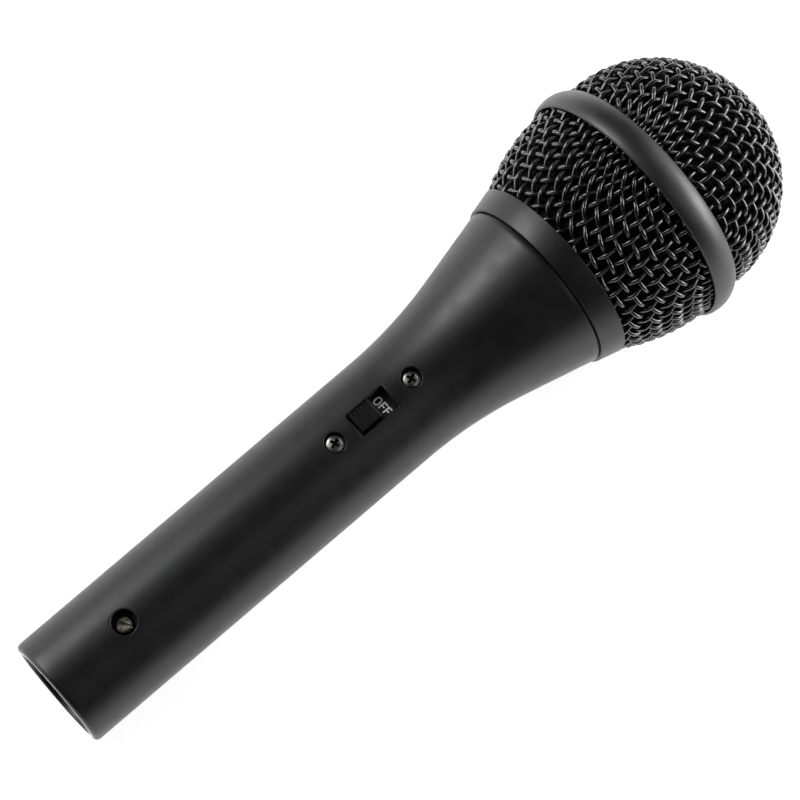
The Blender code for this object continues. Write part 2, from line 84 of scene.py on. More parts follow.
# Handle outline, as in the frame.
REAR_RADIUS = 12.5
REAR_ROUND = 1.2
BARREL_END = (89.0, 12.72)
CONE_START = (114.0, 15.8)
SHOULDER = (130.4, 19.85)
NECK_RADIUS = 18.0
NECK_END = station_of(box_mm("handle_body")[1].x)
SOCKET_RADIUS = 10.0
SOCKET_END = 27.6
BORE_RADIUS = 10.4
SEAT = (124.6, 16.2)
SEAT_STEP = 0.7
WALL = 2.3

# Window and holes on the switch side.
WINDOW = (79.5, 89.4)
WINDOW_WIDTH = 5.65
WINDOW_CORNER = 0.3
COUNTERBORE_RADIUS = 2.25
COUNTERBORE_FLOOR = 11.1
SCREW_HOLE_RADIUS = 1.3
SET_SCREW_HOLE_RADIUS = 2.65
LIP = 0.18  # rounding of the enamel at a hole's edge

# Switch.
STEM = (81.5, 83.7)
STEM_ROOM = 0.3

# Neck and grille. The CAD band's facets cut its crest a little, so the fine band is higher.
NECK_THREAD = (131.8, 138.2)
THREAD_CREST = 18.26
THREAD_PITCH = 1.0
COLLAR_RADII = (20.4, 21.8)
BAND = (*stations("grille_band"), box_mm("grille_band")[1].z + 0.09)
BALL_TIP = stations("ball_grille")[1]
BALL_RADIUS = 27.0
BASKET_BULGE = ((136.5, 21.75), (146.0, 25.85), (156.9, 27.45))
WIRE = 0.94  # its diameter
BALL_PITCH = 2.95
BASKET_PITCH = 2.9
BALL_STRETCH = 0.15  # 0 where wires only shear, 1 where they only stretch, as the mesh is drawn
BASKET_STRETCH = 0.4
MESH_TURN = math.radians(-35.0)
WIRE_STEPS = 6  # points on a wire from one crossing to the next


# ---- outlines


def bend(start, corner, end, steps):
    """Points of the curve that leaves start towards corner and reaches end from it."""
    points = []
    for i in range(steps + 1):
        t = i / steps
        weights = ((1 - t) ** 2, 2 * t * (1 - t), t * t)
        mixed = (sum(w * p for w, p in zip(weights, knots)) for knots in zip(start, corner, end))
        points.append(tuple(mixed))
    return points


def rounded(corners, steps=4):
    """A closed outline of (station, radius, rounding) corners, each rounded."""
    points = []
    for i, (x, r, rounding) in enumerate(corners):
        here = Vector((x, r))
        if not rounding:
            points.append((x, r))
            continue
        ends = []
        for other in (corners[i - 1], corners[(i + 1) % len(corners)]):
            away = Vector(other[:2]) - here
            ends.append(here + away * min(rounding / away.length, 0.49))
        points += bend(tuple(ends[0]), (x, r), tuple(ends[1]), steps)
    return points


def arc(start, middle, end, steps):
    """Points on the circle through three points, from start to end."""
    a, b, c = complex(*start), complex(*middle), complex(*end)
    w = (c - a) / (b - a)
    centre = a + (b - a) * (w - abs(w) ** 2) / (2j * w.imag)
    turn = cmath.phase((c - centre) / (a - centre))
    points = [centre + (a - centre) * cmath.rect(1, turn * i / steps) for i in range(steps + 1)]
    return [(p.real, p.imag) for p in points]


def interpolate(outline, x):
    """The radius of an open outline, whose stations rise, at station x."""
    for (x0, r0), (x1, r1) in zip(outline, outline[1:]):
        if x <= x1:
            return r0 + (r1 - r0) * (x - x0) / (x1 - x0)
    return outline[-1][1]


def rectangle(start, end, low, high):
    """A closed outline with square corners."""
    return [(start, low), (start, high), (end, high), (end, low)]


# ---- meshes


def finish_mesh(name, bm, sharp_degrees=40):
    """Makes an object of a mesh in millimetres from the rear face, smooth except at sharp edges."""
    bmesh.ops.translate(bm, verts=bm.verts, vec=(REAR_X, 0, 0))
    bmesh.ops.scale(bm, verts=bm.verts, vec=(MM, MM, MM))
    bmesh.ops.recalc_face_normals(bm, faces=bm.faces)
    mesh = bpy.data.meshes.new(name)
    bm.to_mesh(mesh)
    bm.free()
    mesh.shade_smooth()
    if sharp_degrees:
        mesh.set_sharp_from_angle(angle=math.radians(sharp_degrees))
    made = bpy.data.objects.new(name, mesh)
    bpy.context.collection.objects.link(made)
    return made


def turned(name, outline, sides=TURNED_SIDES, sharp_degrees=40):
    """A closed outline of (station, radius) points, turned about the microphone's axis."""
    bm = bmesh.new()
    rings = []
    for x, r in outline:
        if r < 1e-6:
            rings.append([bm.verts.new((x, 0, 0))] * sides)
            continue
        angles = [math.tau * j / sides for j in range(sides)]
        rings.append([bm.verts.new((x, r * math.sin(a), r * math.cos(a))) for a in angles])
    bridge_rings(bm, rings + rings[:1])
    return finish_mesh(name, bm, sharp_degrees)


def bridge_rings(bm, rings):
    """Quads, or triangles at a shared point, between each ring of verts and the next."""
    for ring, other in zip(rings, rings[1:]):
        for j in range(len(ring)):
            k = (j + 1) % len(ring)
            corners = []
            for vert in (ring[j], ring[k], other[k], other[j]):
                if vert not in corners:
                    corners.append(vert)
            if len(corners) > 2:
                bm.faces.new(corners)


def close_run(bm, rings):
    """Bridges rings of verts, and caps the first and the last."""
    bridge_rings(bm, rings)
    bm.faces.new(rings[0])
    bm.faces.new(rings[-1])


class RoundHole:
    """The edge of a round hole, drilled down from the switch side."""

    def __init__(self, station, radius):
        self.station = station
        self.radius = radius

    def at(self, u, v, offset=0.0):
        angle = math.atan2(v, u)
        radius = self.radius + offset
        return self.station + radius * math.cos(angle), radius * math.sin(angle)


class WindowHole:
    """The edge of the switch's window, a rectangle with small round corners."""

    def __init__(self, reach):
        self.station = sum(WINDOW) / 2
        self.half = ((WINDOW[1] - WINDOW[0]) / 2, WINDOW_WIDTH / 2)
        self.reach = reach

    def at(self, u, v, offset=0.0):
        spans = zip((u, v), self.half, self.reach)
        point = [value / reach * (half + offset) for value, half, reach in spans]
        inner = [half - WINDOW_CORNER for half in self.half]
        over = [abs(p) - i for p, i in zip(point, inner)]
        if min(over) > 0:
            length, corner = math.hypot(*over), WINDOW_CORNER + offset
            point = [math.copysign(i + o / length * corner, p) for p, i, o in zip(point, inner, over)]
        return self.station + point[0], point[1]


def border_walk(sides, first, last, half):
    """Grid places round a patch of the sheet, in order, from its first to its last row."""
    step = 1 if last > first else -1
    walk = [(first, j) for j in range(-half, half)]
    walk += [(i, half) for i in range(first, last, step)]
    walk += [(last, j) for j in range(half, -half, -1)]
    walk += [(i, -half) for i in range(last, first, -step)]
    return [(i, j % sides) for i, j in walk]


def patch_loops(bm, grid, rows, sides, patch, edge, offset, steps=4):
    """Rings of verts on the sheet, from a patch's border in to the edge of its hole."""
    outline = sorted(rows[min(patch[:2]) : max(patch[:2]) + 1])
    border = [grid[place] for place in border_walk(sides, *patch)]
    places = [(vert.co.x - edge.station, vert.co.y) for vert in border]
    loops = [border]
    for step in range(1, steps + 1):
        t = step / steps
        ring = []
        for vert, (u, v) in zip(border, places):
            ex, ey = edge.at(u, v, offset)
            x, y = vert.co.x + (ex - vert.co.x) * t, vert.co.y + (ey - vert.co.y) * t
            radius = interpolate(outline, x)
            ring.append(bm.verts.new((x, y, math.sqrt(radius * radius - y * y))))
        loops.append(ring)
    return loops, places


def turned_with_holes(name, rows, sides, holes):
    """Turns a closed outline, and drills each hole through its outer and inner sheets.

    A hole is (outer patch, inner patch, edge, inner edge, floor). A patch is (first row, last row,
    half width in sides). The wall goes straight in, or to a floor at that height and on from there.
    """
    bm = bmesh.new()
    patches = [patch for hole in holes for patch in hole[:2]]
    grid = {}
    for i, (x, r) in enumerate(rows):
        for j in range(sides):
            side = (j + sides // 2) % sides - sides // 2
            if any(min(a, b) < i < max(a, b) and abs(side) < half for a, b, half in patches):
                continue
            angle = math.tau * j / sides
            grid[i, j] = bm.verts.new((x, r * math.sin(angle), r * math.cos(angle)))
    for i in range(len(rows)):
        k = (i + 1) % len(rows)
        for j in range(sides):
            side = (j + sides // 2) % sides - sides // 2
            if any(min(a, b) <= i < max(a, b) and -half <= side < half for a, b, half in patches):
                continue
            other = (j + 1) % sides
            bm.faces.new([grid[i, j], grid[k, j], grid[k, other], grid[i, other]])
    for outer, inner, edge, inner_edge, floor in holes:
        loops, places = patch_loops(bm, grid, rows, sides, outer, edge, LIP)
        lip = loops[-1]
        for degrees in (22, 45, 67, 90):
            t = math.radians(degrees)
            ring = []
            for vert, (u, v) in zip(lip, places):
                x, y = edge.at(u, v, LIP * (1 - math.sin(t)))
                ring.append(bm.verts.new((x, y, vert.co.z - LIP * (1 - math.cos(t)))))
            loops.append(ring)
        if floor:
            for offset, height in ((0, floor + 0.12), (-0.04, floor + 0.04), (-0.12, floor)):
                loops.append([bm.verts.new((*edge.at(u, v, offset), height)) for u, v in places])
            loops.append([bm.verts.new((*inner_edge.at(u, v), floor)) for u, v in places])
        inner_loops, _ = patch_loops(bm, grid, rows, sides, inner, inner_edge, 0.0, 2)
        bridge_rings(bm, loops + inner_loops[::-1])
    return finish_mesh(name, bm, 50)


def handle_outline():
    """Stations and radii of the barrel, flare and cone."""
    slope = (SHOULDER[1] - CONE_START[1]) / (SHOULDER[0] - CONE_START[0])
    corner = CONE_START[0] - (CONE_START[1] - BARREL_END[1]) / slope
    flare = bend(BARREL_END, (corner, BARREL_END[1]), CONE_START, 40)
    return [(0, REAR_RADIUS), *flare, SHOULDER]


def bore_outline():
    """Stations and radii of the inside, from the socket to the capsule's seat."""
    tube = [(SOCKET_END + 0.01, BORE_RADIUS), (BARREL_END[0], BORE_RADIUS)]
    cone = [(x, r - WALL) for x, r in handle_outline() if BARREL_END[0] < x < SEAT[0] - 4]
    return tube + cone + [(SEAT[0], SEAT[1] - SEAT_STEP)]


def hole_spans():
    """Round each hole, from the rear: first and last station, half width in sides, rows."""
    cell = math.tau * REAR_RADIUS / TURNED_SIDES
    spans = {"window": (WINDOW[0] - 1.0, WINDOW[1] + 1.0, 12, 36)}
    for node, half in (("xlr_set_screw", 12), ("switch_screw_rear", 9), ("switch_screw_front", 9)):
        station = middle_of(node)[0]
        spans[node] = (station - half * cell, station + half * cell, half, 2 * half)
    return dict(sorted(spans.items(), key=lambda item: item[1]))


def outer_stations(spans):
    """Stations of the outside's rows: close together round the holes and along the flare."""
    stops, steps = [REAR_ROUND], []
    for start, end, _, count in spans.values():
        steps += [max(1, round((start - stops[-1]) / 1.5)), count]
        stops += [start, end]
    stops += [CONE_START[0], SHOULDER[0]]
    steps += [28, 12]
    made = []
    for start, end, count in zip(stops, stops[1:], steps):
        made += [start + (end - start) * i / count for i in range(count)]
    return made


def handle_body():
    """The handle, with its window, screw holes and set-screw hole."""
    outside, inside = handle_outline(), bore_outline()
    spans = hole_spans()
    along = outer_stations(spans)
    outer = [(x, interpolate(outside, x)) for x in along]
    rounding = bend((0.0, REAR_RADIUS - REAR_ROUND), (0.0, REAR_RADIUS), (REAR_ROUND, REAR_RADIUS), 8)[:-1]
    shoulder = [(SHOULDER[0] - 0.12, SHOULDER[1] - 0.03), (SHOULDER[0] - 0.03, SHOULDER[1] - 0.06)]
    shoulder += [(SHOULDER[0], SHOULDER[1] - 0.16), (SHOULDER[0], NECK_RADIUS)]
    neck = [(NECK_END - 0.4, NECK_RADIUS), (NECK_END, NECK_RADIUS - 0.4), (NECK_END, SEAT[1]), SEAT]
    neck.append((SEAT[0], SEAT[1] - SEAT_STEP))
    inner = [(x, interpolate(inside, x)) for x in along[::-1] if SOCKET_END + 1 < x < SEAT[0] - 1]
    step = [(SOCKET_END + 0.4, BORE_RADIUS), (SOCKET_END, BORE_RADIUS), (SOCKET_END, SOCKET_RADIUS)]
    socket = [(x, SOCKET_RADIUS) for x in along[::-1] if 0.5 < x < SOCKET_END - 1]
    mouth = [(x, SOCKET_RADIUS + grow) for x, grow in ((0.5, 0.0), (0.3, 0.06), (0.1, 0.2), (0.0, 0.4))]
    rows = rounding + outer + shoulder + neck + inner + step + socket + mouth
    first, last = len(rounding), len(rounding) + len(outer)

    def patches(key):
        """The hole's patch of the outer sheet, and of the inner."""
        start, end, half, _ = spans[key]
        for span in (range(first, last), range(last, len(rows))):
            nearest = [min(span, key=lambda i: abs(rows[i][0] - x)) for x in (start, end)]
            yield (*nearest, half)

    holes = []
    for node in ("switch_screw_rear", "switch_screw_front"):
        station = middle_of(node)[0]
        edges = [RoundHole(station, radius) for radius in (COUNTERBORE_RADIUS, SCREW_HOLE_RADIUS)]
        holes.append((*patches(node), *edges, COUNTERBORE_FLOOR))
    edge = RoundHole(middle_of("xlr_set_screw")[0], SET_SCREW_HOLE_RADIUS)
    holes.append((*patches("xlr_set_screw"), edge, edge, None))
    start, end, half, _ = spans["window"]
    across = math.sin(math.tau * half / TURNED_SIDES)
    edges = [WindowHole(((end - start) / 2, radius * across)) for radius in (BARREL_END[1], BORE_RADIUS)]
    holes.append((*patches("window"), *edges, None))
    made = turned_with_holes("handle_shell", rows, TURNED_SIDES, holes)
    mark_bright_metal_rim(made)
    return made


def mark_bright_metal_rim(handle):
    """Gives the flat ring at the rear end, up to its rounding, the second material, a bright metal lighter
    than the enamel.
    """
    for face in handle.data.polygons:
        across = math.hypot(face.center.y, face.center.z) / MM
        flat = station_of(face.center.x / MM) < 0.02
        face.material_index = int(flat and across < REAR_RADIUS - REAR_ROUND + 0.05)


def carve(target, *cutters):
    """Cuts closed meshes out of a piece for good."""
    for cutter in cutters:
        modifier = target.modifiers.new("cut", "BOOLEAN")
        modifier.solver = "EXACT"
        modifier.object = cutter
    graph = bpy.context.evaluated_depsgraph_get()
    mesh = bpy.data.meshes.new_from_object(target.evaluated_get(graph))
    target.modifiers.clear()
    target.data = mesh
    mesh.shade_smooth()
    mesh.set_sharp_from_angle(angle=math.radians(40))
    for cutter in cutters:
        bpy.data.objects.remove(cutter)


def upright(name, outline, station):
    """A closed outline of (height, radius) points, turned about a vertical line."""
    made = turned(name, outline, 64, 0)
    back = Matrix.Translation((-REAR_X * MM, 0, 0))
    there = Matrix.Translation((station * MM + REAR_X * MM, 0, 0))
    made.data.transform(there @ Matrix.Rotation(-QUARTER, 4, "Y") @ back)
    made.data.set_sharp_from_angle(angle=math.radians(40))
    return made


def slab(name, outline, low, high, rounding=0.0, steps=5):
    """An outline of (station, height) points, swept from low to high along Y, its ends rounded."""
    outward = []
    area = sum(a[0] * b[1] - b[0] * a[1] for a, b in zip(outline, outline[1:] + outline[:1]))
    for i in range(len(outline)):
        before, after = Vector(outline[i - 1]), Vector(outline[(i + 1) % len(outline)])
        along = (after - before).normalized()
        normal = Vector((along.y, -along.x))
        outward.append(normal if area > 0 else -normal)
    places = [(low, 0.0)]
    if rounding:
        turns = (QUARTER * i / steps for i in range(steps + 1))
        backs = ((1 - math.sin(t), 1 - math.cos(QUARTER - t)) for t in turns)
        places = [(low + rounding * y, rounding * depth) for y, depth in backs]
    places += [(high + low - y, depth) for y, depth in reversed(places)]
    bm = bmesh.new()
    rings = []
    for y, depth in places:
        inset = [(x - n.x * depth, z - n.y * depth) for (x, z), n in zip(outline, outward)]
        rings.append([bm.verts.new((x, y, z)) for x, z in inset])
    close_run(bm, rings)
    return finish_mesh(name, bm, 50)


# ---- woven wire


class Net:
    """Square wire mesh drawn over a turned surface: crossings keep their spacing, the cells shear."""

    def __init__(self, outline, pitch, count, stretch):
        self.outline = outline
        self.pitch = pitch
        self.stretch = stretch
        self.lengths = [0.0]
        for a, b in zip(outline, outline[1:]):
            self.lengths.append(self.lengths[-1] + math.dist(a, b))
        self.nodes = {}
        for i in range(count):
            self.nodes[i, 0] = (i * pitch, 0.0)
            self.nodes[0, i] = (i * pitch, QUARTER)
        for total in range(2, 2 * count - 1):
            for i in range(max(1, total - count + 1), min(total, count)):
                self.settle(i, total - i)

    def at(self, length):
        """Station and radius this far along the outline from the pole."""
        found = bisect.bisect_right(self.lengths, length) - 1
        found = min(max(found, 0), len(self.outline) - 2)
        start, end = self.lengths[found], self.lengths[found + 1]
        t = (length - start) / (end - start)
        return tuple(a + (b - a) * t for a, b in zip(self.outline[found], self.outline[found + 1]))

    def point(self, length, azimuth):
        x, r = self.at(length)
        return Vector((x, r * math.sin(azimuth), r * math.cos(azimuth)))

    def normal(self, length, azimuth):
        reach = 0.6
        (x0, r0), (x1, r1) = self.at(max(length - reach, 0)), self.at(length + reach)
        turn = math.atan2(r1 - r0, x1 - x0)
        side = 1 if self.outline[-1][0] > self.outline[0][0] else -1
        ahead, out = -side * math.sin(turn), side * math.cos(turn)
        return Vector((ahead, out * math.sin(azimuth), out * math.cos(azimuth)))

    def settle(self, i, j):
        """Finds the crossing one pitch from both of the crossings before it."""
        around = [self.nodes.get(key) for key in ((i - 1, j), (i, j - 1), (i - 1, j - 1))]
        if None in around or max(a[0] for a in around) > self.lengths[-1]:
            return
        first, second, behind = (self.point(*a) for a in around)
        guess = first + second - behind
        place = np.array([(around[0][0] + around[1][0] + self.pitch) / 2, math.atan2(guess.y, guess.z)])

        def miss(at):
            here = self.point(*at)
            return np.array([(here - first).length - self.pitch, (here - second).length - self.pitch])

        small = 1e-4
        for _ in range(40):
            off = miss(place)
            if abs(off).max() < 1e-4:
                self.nodes[i, j] = tuple(place)
                return
            slopes = [(miss(place + step) - off) / small for step in np.eye(2) * small]
            move = np.linalg.solve(np.array(slopes).T, -off)
            limits = (0.7 / max(abs(move[0]), 1e-9), 0.1 / max(abs(move[1]), 1e-9))
            place = place + move * min(1.0, *limits)

    def node(self, i, j):
        """Length and azimuth of any crossing: the four quarters are alike."""
        if (i, j) == (0, 0):
            return 0.0, 0.0
        turn = 0
        while i < 0 or j < 0:
            i, j = j, -i
            turn += 1
        if (i, j) not in self.nodes:
            return None
        sheared = self.nodes[i, j]
        stretched = (self.pitch * math.hypot(i, j), math.atan2(j, i))
        length, azimuth = (a + (b - a) * self.stretch for a, b in zip(sheared, stretched))
        return length, azimuth + turn * QUARTER


def smooth_between(a, b, c, d, t):
    """A point of the smooth curve through four knots, between the middle two."""
    bend_term = (2 * a - 5 * b + 4 * c - d) * t * t + (3 * b - a - 3 * c + d) * t**3
    return b + ((c - a) * t + bend_term) / 2


def wire_runs(net, count, start, end):
    """The centrelines of the wires, over and under each other, between two lengths from the pole."""
    runs = []
    for family in (0, 1):
        for row in range(-count, count + 1):
            pieces = [[]]
            for column in range(-count, count + 1):
                found = net.node(*((row, column) if family else (column, row)))
                if not found:
                    continue
                length, azimuth = found[0], found[1] + MESH_TURN
                sign = 1 if (row + column + family) % 2 else -1
                if pieces[-1] and column != pieces[-1][-1][0] + 1:
                    pieces.append([])
                place, normal = net.point(length, azimuth), net.normal(length, azimuth)
                pieces[-1].append((column, length, place, normal, sign))
            for piece in pieces:
                if len(piece) > 3:
                    runs += clip_run(piece, start, end)
    return runs


def clip_run(piece, start, end):
    """Fine points along one wire, cut where it leaves the shown part of the surface."""
    fine = []
    for a, b, c, d in zip(piece, piece[1:], piece[2:], piece[3:]):
        for k in range(WIRE_STEPS):
            t = k / WIRE_STEPS
            length, place = (smooth_between(a[key], b[key], c[key], d[key], t) for key in (1, 2))
            normal = b[3].lerp(c[3], t).normalized()
            fine.append((length, place + normal * (WIRE / 2 * b[4] * math.cos(math.pi * t))))
    runs = [[]]
    for before, here in zip(fine, fine[1:]):
        inside = [start <= p[0] <= end for p in (before, here)]
        if all(inside):
            if not runs[-1]:
                runs[-1].append(before[1])
            runs[-1].append(here[1])
        elif any(inside):
            bound = end if max(before[0], here[0]) > end else start
            t = (bound - before[0]) / (here[0] - before[0])
            cut = before[1].lerp(here[1], t)
            if inside[0]:
                runs[-1].append(cut)
                runs.append([])
            else:
                runs[-1] += [cut, here[1]]
    return [run for run in runs if len(run) > 3]


def tubes(name, runs, sides=8):
    """Closed round wires along the runs."""
    bm = bmesh.new()
    angles = [math.tau * k / sides for k in range(sides)]
    for run in runs:
        run = [p for p, q in zip(run, run[1:]) if (q - p).length > 0.05] + [run[-1]]
        rings = []
        across = None
        for i, place in enumerate(run):
            ahead = (run[min(i + 1, len(run) - 1)] - run[max(i - 1, 0)]).normalized()
            if across is None:
                across = ahead.orthogonal().normalized()
            across = (across - ahead * across.dot(ahead)).normalized()
            other = ahead.cross(across)
            spokes = [across * math.cos(a) + other * math.sin(a) for a in angles]
            rings.append([bm.verts.new(place + spoke * (WIRE / 2)) for spoke in spokes])
        close_run(bm, rings)
    return finish_mesh(name, bm, 60)


def ball_arc(radius, last, steps):
    """Points round the dome's centre, from its tip to a last station."""
    centre = BALL_TIP - BALL_RADIUS
    rim = math.acos((last - centre) / radius)
    angles = [rim * i / steps for i in range(steps + 1)]
    return [(centre + radius * math.cos(a), radius * math.sin(a)) for a in angles]


def ball_wires():
    radius = BALL_RADIUS - WIRE
    outline = ball_arc(radius, BAND[1] + 1.3, 79)
    tuck = bend(outline[-1], (BAND[1] + 0.3, radius - 0.15), (BAND[1] - 0.6, radius - 0.62), 6)[1:]
    outline += tuck + [(BAND[1] - 2.3, radius - 0.65), (BAND[1] - 12, radius - 0.65)]
    net = Net(outline, BALL_PITCH, 20, BALL_STRETCH)
    return tubes("ball_wires", wire_runs(net, 19, -1, net.lengths[-2]))


def basket_outline(depth):
    """The basket's outline, this far inside its outer surface."""
    bulge = arc(*BASKET_BULGE, 40) + [(BAND[0] + 2.0, BASKET_BULGE[2][1])]
    return [(x, r - depth) for x, r in bulge]


def basket_wires():
    """The rear half's wires, from the skirt that the collar clamps to under the band."""
    back, skirt = 133.2, 20.0
    outline = [(back, 0.0), (back, skirt - 1.4)]
    outline += bend(outline[-1], (back, skirt), (back + 1.4, skirt), 8)[1:]
    start = len(outline) - 4
    outline += [(135.7, skirt + 0.35), *basket_outline(WIRE), (BAND[0] + 14, BASKET_BULGE[2][1] - WIRE)]
    net = Net(outline, BASKET_PITCH, 21, BASKET_STRETCH)
    return tubes("basket_wires", wire_runs(net, 20, net.lengths[start], net.lengths[-2]))


def ball_lining():
    outer = ball_arc(BALL_RADIUS - 2 * WIRE - 0.15, BAND[1] - 1.6, 60)
    centre = BALL_TIP - BALL_RADIUS
    inner = [(centre + (x - centre) * 0.9, r * 0.9) for x, r in outer[::-1]]
    return turned("ball_lining", outer + inner, 128, 0)


def basket_lining():
    outer = [(136.0, 19.5), (136.6, 19.7), (138.0, 20.6)]
    outer += [p for p in basket_outline(2 * WIRE + 0.15) if p[0] > 138.7]
    inner = [(x, r - 2.5) for x, r in outer if x > 141][::-1]
    inner += [(139.2, 19.3), (138.6, 19.15), (136.0, 19.1)]
    return turned("basket_lining", outer + inner, 128, 0)


# ---- collar and band


def collar_trim():
    start, end = stations("collar_ring")
    start -= 0.15
    rear, front = COLLAR_RADII
    corners = [(start, 19.75, 0.05), (start, rear, 0.1), (end, front, 0.12), (end, front - 0.45, 0.05)]
    corners += [(end - 0.4, front - 0.62, 0.05), (133.6, 20.95, 0.1), (133.6, 19.75, 0.05)]
    return turned("collar_trim", rounded(corners))


def grille_hoop():
    start, end, radius = BAND
    crown = arc((start + 0.4, radius - 0.28), (start + 3.1, radius), (end - 0.25, radius - 1.3), 16)
    rear = bend((start, radius - 0.8), (start, radius - 0.42), crown[0], 5)[:-1]
    front = bend(crown[-1], (end, radius - 1.48), (end, radius - 1.9), 5)[1:]
    inner = [(end - 0.1, radius - 2.2), (end - 2.2, radius - 1.35), (end - 2.7, radius - 1.35)]
    web = [(end - 2.7, 25.0), (end - 3.3, 25.0), (end - 3.3, radius - 1.0), (start, radius - 1.0)]
    return turned("grille_hoop", rear + crown + front + inner + web)


def neck_thread():
    """The ridge of the screw thread, round and along the neck."""
    steps = 48
    start, end = NECK_THREAD
    total = round((end - start) / THREAD_PITCH * steps)
    bm = bmesh.new()
    rings = []
    for i in range(total + 1):
        angle = math.tau * i / steps
        x = start + (end - start) * i / total
        grow = min(1.0, i / 12, (total - i) / 12)
        tip, foot = NECK_RADIUS + (THREAD_CREST - NECK_RADIUS) * grow, NECK_RADIUS - 0.1
        flank = 0.42 * THREAD_PITCH
        corners = ((x - flank, foot), (x - 0.08, tip), (x + 0.08, tip), (x + flank, foot))
        rings.append([bm.verts.new((sx, r * math.sin(angle), r * math.cos(angle))) for sx, r in corners])
    close_run(bm, rings)
    return finish_mesh("neck_thread", bm, 30)


def flat_ring(name, node, inner, outer, rounding):
    """A ring of rectangular section, as long as its CAD node."""
    corners = rectangle(*stations(node), inner, outer)
    return turned(name, rounded([(*corner, rounding) for corner in corners]), 128)


# ---- switch


def slide_knob():
    """The ribbed knob, with the stem that goes down through the plate."""
    low, high = box_mm("switch_knob")
    start, end = stations("switch_knob")
    base, top, valley = 9.95, high.z, high.z - 0.48
    ribs = 6
    pitch = (end - start) / ribs
    outline = [(start, base), (start, top - 0.5)]
    for rib in range(ribs):
        left = start + rib * pitch
        outline.append((left + 0.03, valley))
        for degrees in range(0, 181, 30):
            a = math.radians(degrees)
            # A rib is blunt, and its crest leans to the rear.
            reach = 1 if degrees == 90 else math.copysign(abs(math.cos(a)) ** 0.55, math.cos(a))
            height = valley + 0.06 + 0.42 * math.sin(a) ** 0.6
            outline.append((left + pitch / 2 - 0.25 * reach, height))
        outline.append((left + pitch - 0.03, valley))
    outline += [(end, top - 0.5), (end, base)]
    cleaned = [p for p, q in zip(outline, outline[1:] + outline[:1]) if math.dist(p, q) > 1e-3]
    made = slab("slide_knob", cleaned, low.y, high.y, 0.14, 4)
    return join(made, slab("stem", rectangle(*STEM, 6.4, 10.2), -0.9, 0.9))


def join(target, other):
    """Adds another piece's mesh to a piece."""
    bm = bmesh.new()
    bm.from_mesh(target.data)
    bm.from_mesh(other.data)
    bpy.data.objects.remove(other)
    bm.to_mesh(target.data)
    bm.free()
    return target


def ribbon(bm, path, width, low, high, closed, station):
    """A flat stroke along a path of (across, up) points, with mitred corners: up is to the head."""
    points = [Vector(p) for p in path]
    count = len(points)
    sides = []
    for i, here in enumerate(points):
        before = points[i - 1] if closed or i else None
        after = points[(i + 1) % count] if closed or i < count - 1 else None
        ways = [w.normalized() for w in (before and here - before, after and after - here) if w]
        along = sum(ways, Vector((0, 0))).normalized()
        normal = Vector((-along.y, along.x))
        reach = width / 2 / max(normal.dot(Vector((-ways[0].y, ways[0].x))), 0.4)
        sides.append((here + normal * reach, here - normal * reach))
    rings = []
    for left, right in sides:
        corners = [(*left, low), (*right, low), (*right, high), (*left, high)]
        rings.append([bm.verts.new((station + up, -across, z)) for across, up, z in corners])
    if closed:
        bridge_rings(bm, rings + rings[:1])
    else:
        close_run(bm, rings)


LETTER_WIDTHS = {"O": 1.45, "F": 1.1, "N": 1.35}
LETTER_HEIGHT = 2.1
LETTER_STROKE = 0.33
LETTER_GAP = 0.26


def letter_paths():
    """Each capital's strokes: the path of its middle line, and whether it is closed."""
    half = LETTER_STROKE / 2
    top, middle, centre = LETTER_HEIGHT - half, LETTER_WIDTHS["O"] / 2, LETTER_HEIGHT / 2
    loop = []
    for i in range(40):
        a = math.tau * i / 40
        across, up = (math.copysign(abs(v) ** 0.75, v) for v in (math.cos(a), math.sin(a)))
        loop.append((middle + (middle - half) * across, centre + (centre - half) * up))
    right = LETTER_WIDTHS["N"] - half
    return {
        "O": [(loop, True)],
        "F": [([(half, half), (half, top), (1.1, top)], False), ([(half, 1.12), (0.98, 1.12)], False)],
        "N": [([(half, 0), (half, top), (right, half), (right, LETTER_HEIGHT)], False)],
    }


def lettering(name, word, station):
    """Printed capitals that read across the window, their tops towards the head."""
    low = box_mm("switch_shutter")[1].z - 0.01
    paths = letter_paths()
    total = sum(LETTER_WIDTHS[c] for c in word) + LETTER_GAP * (len(word) - 1)
    pen = -total / 2
    bm = bmesh.new()
    for character in word:
        for k, (path, closed) in enumerate(paths[character]):
            shifted = [(pen + u, v) for u, v in path]
            ribbon(bm, shifted, LETTER_STROKE, low, low + 0.03 + 0.004 * k, closed, station)
        pen += LETTER_WIDTHS[character] + LETTER_GAP
    return finish_mesh(name, bm, 30)


def slide_plate():
    """The plate that moves with the knob, with a hole for the stem."""
    low, high = box_mm("switch_shutter")
    outline = [(x, z, 0.05) for x, z in rectangle(*stations("switch_shutter"), low.z, high.z)]
    made = slab("slide_plate", rounded(outline, 3), low.y, high.y, 0.05, 3)
    room = rectangle(STEM[0] - STEM_ROOM, STEM[1] + STEM_ROOM, 9.0, 10.0)
    carve(made, slab("hole", room, -1.2, 1.2))
    return made


def cross_cutters(station, top):
    """The two wings of a cross recess, each tapered downwards."""
    deep = 0.75
    levels = ((top + 0.4, 1.25, 0.34), (top - deep * 0.55, 1.0, 0.27), (top - deep, 0.45, 0.2))
    wings = []
    for turn in (0, QUARTER):
        spin = Matrix.Rotation(turn + 0.32, 2)
        bm = bmesh.new()
        rings = []
        for height, length, width in levels:
            corners = [(-length, -width), (length, -width), (length, width), (-length, width)]
            placed = [spin @ Vector(c) for c in corners]
            rings.append([bm.verts.new((station + p.x, p.y, height)) for p in placed])
        close_run(bm, rings)
        wings.append(finish_mesh("cross", bm, 30))
    return wings


